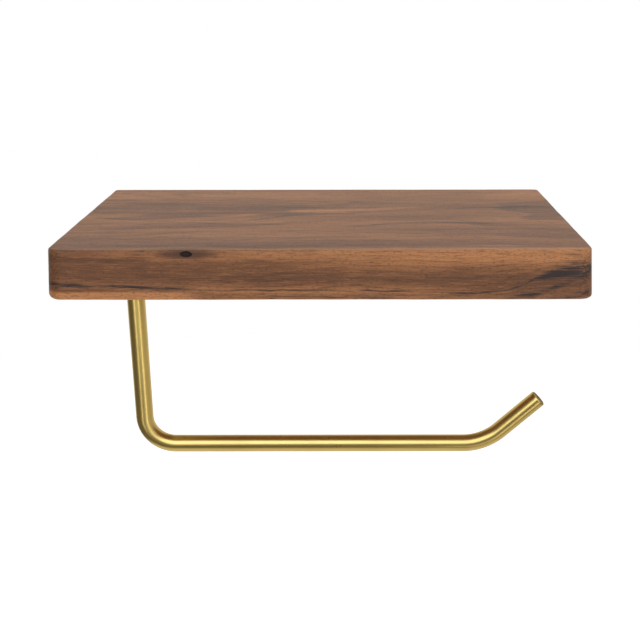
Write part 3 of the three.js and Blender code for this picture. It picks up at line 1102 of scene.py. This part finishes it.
class Fastener:
    """Sizes of a countersunk fastener, in metres, drawn with its head's face at Z = 0."""

    def __init__(self, length, shank, head, rim, point, pitch, recess):
        self.length = length * MM
        self.shank = shank * MM / 2
        self.head = head * MM / 2
        self.rim = rim * MM
        self.point = point * MM
        self.pitch = pitch * MM
        self.recess = recess

    @property
    def neck(self):
        """Depth at which the head's cone meets the shank."""
        return self.rim + self.head - self.shank

    def mesh(self, name):
        """The head's cone, a plain neck, and a shank with a helical thread.

        The shank's radius is its outer radius less the thread's depth times a triangle wave of
        (height / pitch - angle / turn), so the wave climbs by one pitch in each turn.
        """
        steps = 48
        start = self.neck + 0.8 * MM
        count = int((self.length - start) / self.pitch * ROWS_PER_PITCH)
        rows = np.linspace(start, self.length - 0.1 * MM, count)
        turn = np.linspace(0, 1, steps, endpoint=False)[None, :]
        phase = (rows[:, None] / self.pitch - turn) % 1
        depth = 0.28 * self.shank * np.clip((rows[:, None] - start) / self.pitch, 0, 1)
        groove = depth * (1 - np.abs(2 * phase - 1) ** 1.4)
        taper = np.clip((self.length - rows) / self.point, 0.12, 1)[:, None]
        threaded = (self.shank - groove) * taper
        bevel = 0.12 * MM
        fixed = [
            (self.head - bevel, 0), (self.head, bevel), (self.head, self.rim),
            (self.shank, self.neck), (self.shank, start - 0.01 * MM),
        ]
        head_radii = np.array([[r] * steps for r, _ in fixed])
        radii = np.vstack([head_radii, threaded])
        heights = -np.concatenate([[h for _, h in fixed], rows])
        return turned(name, np.zeros(len(heights)), heights, steps, wave=radii)


def cross_recess(span, width, depth):
    """A cutter for a cross recess: a four-armed outline that narrows as it goes down."""
    s, w = span / 2 * MM, width / 2 * MM
    quarter = np.array([(s, -w), (s, w), (w * 1.5, w * 1.5)])
    turns = [np.array([[c, -d], [d, c]]) for c, d in ((1, 0), (0, 1), (-1, 0), (0, -1))]
    outline = np.vstack([quarter @ turn.T for turn in turns])
    levels = [(0.2 * MM, 1.0), (0, 1.0), (-depth * MM, 0.45)]
    rings = np.array([np.column_stack([outline * k, np.full(len(outline), h)]) for h, k in levels])
    return ring_mesh("cutter", rings, (0, 0, 0.2 * MM), (0, 0, -depth * 1.15 * MM))


def hexagon_recess(across_flats, depth):
    """A cutter for a hexagon socket with a drill's cone at its bottom."""
    turn = np.radians(np.arange(0, 360, 60))
    corner = across_flats / 2 / math.cos(math.radians(30)) * MM
    outline = np.column_stack([np.cos(turn), np.sin(turn)]) * corner
    rings = np.array([np.column_stack([outline, np.full(6, h * MM)]) for h in (0.2, -depth)])
    return ring_mesh("cutter", rings, (0, 0, 0.2 * MM), (0, 0, -(depth + 0.5) * MM))


def countersink(fastener, gap, depth):
    """A cutter for the hole that a countersunk head and its shank sit in."""
    head, shank = fastener.head + gap, fastener.shank + gap
    heights = [1 * MM, -fastener.rim, -fastener.neck, -depth]
    return turned("cutter", [head, head, shank, shank], heights, 64)


PLATE_SCREW = Fastener(16, 4.0, 7.5, 0.3, 4.0, 1.8, ("cross", 4.2, 0.9, 1.5))
KEYHOLE_SCREW = Fastener(16, 3.0, 5.6, 0.2, 3.0, 1.35, ("cross", 3.2, 0.7, 1.1))
ARM_BOLT = Fastener(14, 5.0, 9.2, 0.3, 0.6, 0.8, ("hexagon", 3.0, 1.7))


def fastener_piece(name, fastener, place, turn_x, slot, material, node):
    """One fastener: cut, turned to face its way, and set in its place."""
    kind, *sizes = fastener.recess
    recess = cross_recess(*sizes) if kind == "cross" else hexagon_recess(*sizes)
    piece = cut(new_object(name, fastener.mesh(name)), [recess])
    moved(piece.data, place, turn_x)
    return finish_piece(piece, material, [node], crease=32)


class PAPERHOLDER_OT_fasteners(bpy.types.Operator):
    """Builds the wood screws and the bolt that holds the arm to its plate."""

    bl_idname = "paper_holder.fasteners"
    bl_label = "Screws and bolt"

    def execute(self, context):
        for node in screw_names():
            low, high = node_box(node)
            x, y, z = node_middle(node)
            name = node.replace("_screw_", "_fixing_")
            if node.startswith("keyhole"):
                spot, turn_x = (x, high[1], z), -math.pi / 2
                look = ("zinc_plated_steel", zinc(context), node)
                fastener_piece(name, KEYHOLE_SCREW, spot, turn_x, *look)
            else:
                spot, turn_x = (x, y, low[2]), math.pi
                look = ("satin_brass", brass(context), node)
                fastener_piece(name, PLATE_SCREW, spot, turn_x, *look)
        x, y, _ = node_middle("arm_bolt")
        spot = (x, y, node_box("arm_bolt")[1][2])
        look = ("zinc_plated_steel", zinc(context), "arm_bolt")
        fastener_piece("arm_fixing_bolt", ARM_BOLT, spot, 0, *look)
        return {"FINISHED"}


# ---------------------------------------------------------------- plates


class PAPERHOLDER_OT_plates(bpy.types.Operator):
    """Builds the arm's plate and the two keyhole plates."""

    bl_idname = "paper_holder.plates"
    bl_label = "Plates"

    def execute(self, context):
        plates = context.scene.paper_holder.plates
        self.arm_plate(context, plates)
        for node, middle in keyhole_places().items():
            self.keyhole_plate(context, plates, node, middle)
        return {"FINISHED"}

    def arm_plate(self, context, plates):
        low, high = node_box("arm_plate")
        runs = (even(8), even(20), even(8), even(20))
        corner = plates.arm_corner
        outline = rounded_outline(low[:2], high[:2], corner, corner, runs, 16)
        name = "arm_mounting_plate"
        piece = new_object(name, slab(name, outline, low[2], high[2], plates.edge))
        thickness = high[2] - low[2]
        cutters = []
        for node in ("arm_plate_screw_front", "arm_plate_screw_back"):
            x, y, _ = node_middle(node)
            hole = countersink(PLATE_SCREW, plates.hole_gap, thickness + 1 * MM)
            cutters.append(moved(hole, (x, y, node_box(node)[0][2]), math.pi))
        x, y, _ = node_middle("arm_bolt")
        hole = countersink(ARM_BOLT, plates.hole_gap, thickness + 1 * MM)
        cutters.append(moved(hole, (x, y, node_box("arm_bolt")[1][2])))
        finish_piece(cut(piece, cutters), brass(context), ["arm_plate"], crease=32)

    def keyhole_plate(self, context, plates, node, middle):
        low, high = node_box(node)
        radius = (high[2] - low[2]) / 2
        reach = (high[0] - low[0]) / 2 - radius
        thickness = high[1] - low[1]
        name = node.replace("keyhole_plate", "keyhole_hanger")
        outline = obround_outline((-reach, 0), (reach, 0), radius, 32)
        mesh = slab(name, outline, 0, thickness, plates.edge)
        piece = new_object(name, standing(mesh, *middle))
        keyhole = prism(keyhole_outline(plates), -1 * MM, thickness + 1 * MM)
        cutters = [standing(keyhole, *middle)]
        for screw in screw_names():
            x, _, z = node_middle(screw)
            if low[0] < x < high[0] and screw.startswith("keyhole"):
                hole = countersink(KEYHOLE_SCREW, plates.hole_gap, thickness + 1 * MM)
                cutters.append(moved(hole, (x, node_box(screw)[1][1], z), -math.pi / 2))
        finish_piece(cut(piece, cutters), zinc(context), [node], crease=32)


# ---------------------------------------------------------------- stage


def floor_mesh(radius, height, steps=64):
    """A round floor: rings of growing radius about a point, all at one height."""
    turn = np.linspace(0, TURN, steps, endpoint=False)
    radii = radius * np.linspace(0.1, 1, 10)[:, None]
    x, y = radii * np.cos(turn), radii * np.sin(turn)
    rings = np.stack([x, y, np.full_like(x, height)], axis=2)
    return ring_mesh("floor", rings, (0, 0, height))


def floor_material():
    """Pale matte paper with a faint mottle."""
    graph = Graph("floor_paper")
    mottle = graph.noise(graph.mapped(graph.place(), (3, 3, 3)), detail=3.0)
    return graph.finish(
        Base_Color=graph.mix(mottle, (0.93, 0.93, 0.93), (0.95, 0.95, 0.95)),
        Roughness=0.9,
        Specular_IOR_Level=0.1,
        Emission_Color=(1, 1, 1, 1),
        Emission_Strength=0.6,
    )


def softbox(name, azimuth, elevation, size, radiance, tint=(1, 1, 1), distance=1.2, seen="both"):
    """A rectangular area light at a bearing from the object, facing it.

    Azimuth 0 is in front and 90 to the right; radiance is what a mirror would show of it. A
    reflector is seen in polished surfaces only, a fill lights matt surfaces only.
    """
    a, e = math.radians(azimuth), math.radians(elevation)
    away = Vector((math.sin(a) * math.cos(e), -math.cos(a) * math.cos(e), math.sin(e)))
    light = bpy.data.lights.new(name, "AREA")
    light.shape = "RECTANGLE"
    light.size, light.size_y = size
    light.energy = radiance * math.pi * size[0] * size[1]
    light.color = tint
    lamp = bpy.data.objects.new(name, light)
    lamp.location = Vector(STAGE_MIDDLE) + away * distance
    lamp.rotation_euler = away.to_track_quat("Z", "Y").to_euler()
    lamp.visible_camera = False
    lamp.visible_diffuse = seen != "reflector"
    lamp.visible_glossy = seen != "fill"
    bpy.context.scene.collection.objects.link(lamp)


def studio_world():
    """White to the camera; to the surfaces, a room with bright and dim sides.

    A direction's brightness is the largest of: the dim room, the wall behind the object, the
    reflectors on the right, and the table below.
    """
    world = bpy.data.worlds.new("studio")
    world.use_nodes = True
    graph = Graph.of_tree(world.node_tree)
    x, y, z = graph.parts(graph.out(graph.node("ShaderNodeTexCoord"), "Generated"))
    behind = graph.smooth(y, 0.0, 0.7) * (1 - graph.smooth(z, 0.42, 0.72)) * 0.80
    right = graph.smooth(x, 0.16, 0.40) * graph.smooth(z, -0.50, -0.10) * 0.62
    below = graph.smooth(-z, 0.60, 0.84) * 0.86
    room = graph.largest(behind, right, below, 0.17)
    camera = graph.out(graph.node("ShaderNodeLightPath"), "Is Camera Ray")
    background = next(n for n in world.node_tree.nodes if n.type == "BACKGROUND")
    graph.feed(background.inputs["Color"], graph.mix(camera, (1, 0.97, 0.91), (1, 1, 1)))
    graph.feed(background.inputs["Strength"], graph.largest(room, camera))
    bpy.context.scene.world = world


class PAPERHOLDER_OT_stage(bpy.types.Operator):
    """Builds the camera, the pale floor and the soft studio lights."""

    bl_idname = "paper_holder.stage"
    bl_label = "Stage"

    def execute(self, context):
        stage = context.scene.paper_holder.stage
        self.camera(context, stage)
        height = float(ARM_LOW[2]) - stage.floor_drop
        floor = new_object("floor", floor_mesh(stage.floor_radius, height))
        floor.data.materials.append(floor_material())
        floor.visible_glossy = False
        self.lights()
        studio_world()
        context.scene.view_settings.view_transform = "Standard"
        return {"FINISHED"}

    def camera(self, context, stage):
        data = bpy.data.cameras.new("camera")
        data.lens = stage.lens
        data.sensor_width = 36
        data.shift_x = stage.shift_x
        data.clip_start, data.clip_end = 0.01, 50
        camera = bpy.data.objects.new("camera", data)
        camera.location = (
            stage.camera_x,
            float(BOARD_LOW[1]) - stage.camera_front,
            float(BOARD_HIGH[2]) + stage.camera_up,
        )
        level = Euler((math.pi / 2 - stage.camera_pitch, 0, 0)).to_matrix()
        camera.rotation_euler = (level @ Matrix.Rotation(stage.camera_roll, 3, "Z")).to_euler()
        context.scene.collection.objects.link(camera)
        context.scene.camera = camera

    def lights(self):
        softbox("front_fill", 0, 27, (1.1, 0.72), 2.5, (1, 0.95, 0.87), seen="fill")
        softbox("front_reflector", -6, 33, (1.08, 0.98), 2.4, (0.78, 0.86, 1), seen="reflector")
        softbox("left_reflector", -20, 6, (0.26, 0.5), 1.5, seen="reflector")
        softbox("right_reflector", 36, 4, (0.16, 0.7), 2.8, (0.9, 0.94, 1), seen="reflector")
        softbox("low_reflector", 25, -28, (0.26, 0.22), 1.7, distance=0.8, seen="reflector")
        softbox("top_softbox", 175, 72, (1.6, 1.0), 2.0, (1, 0.96, 0.9), distance=1.5)


# ---------------------------------------------------------------- panel and registration


class PAPERHOLDER_PT_panel(bpy.types.Panel):
    """Lists the holder's operators."""

    bl_idname = "PAPERHOLDER_PT_panel"
    bl_label = "Paper holder"
    bl_space_type = "VIEW_3D"
    bl_region_type = "UI"
    bl_category = "Paper holder"

    def draw(self, context):
        for operator in OPERATORS:
            self.layout.operator(operator.bl_idname)


OPERATORS = (
    PAPERHOLDER_OT_stage,
    PAPERHOLDER_OT_shelf_board,
    PAPERHOLDER_OT_roll_arm,
    PAPERHOLDER_OT_plates,
    PAPERHOLDER_OT_fasteners,
)
SETTINGS = (
    BoardSettings,
    ArmSettings,
    PlateSettings,
    WalnutSettings,
    MetalSettings,
    StageSettings,
    HolderSettings,
)
CLASSES = (*SETTINGS, *OPERATORS, PAPERHOLDER_PT_panel)


def register():
    for cls in CLASSES:
        bpy.utils.register_class(cls)
    bpy.types.Scene.paper_holder = PointerProperty(type=HolderSettings)


def unregister():
    del bpy.types.Scene.paper_holder
    for cls in reversed(CLASSES):
        bpy.utils.unregister_class(cls)


def main():
    """Builds everything."""
    register()
    bpy.ops.paper_holder.stage()
    bpy.ops.paper_holder.shelf_board()
    bpy.ops.paper_holder.roll_arm()
    bpy.ops.paper_holder.plates()
    bpy.ops.paper_holder.fasteners()


if __name__ == "__main__":
    main()
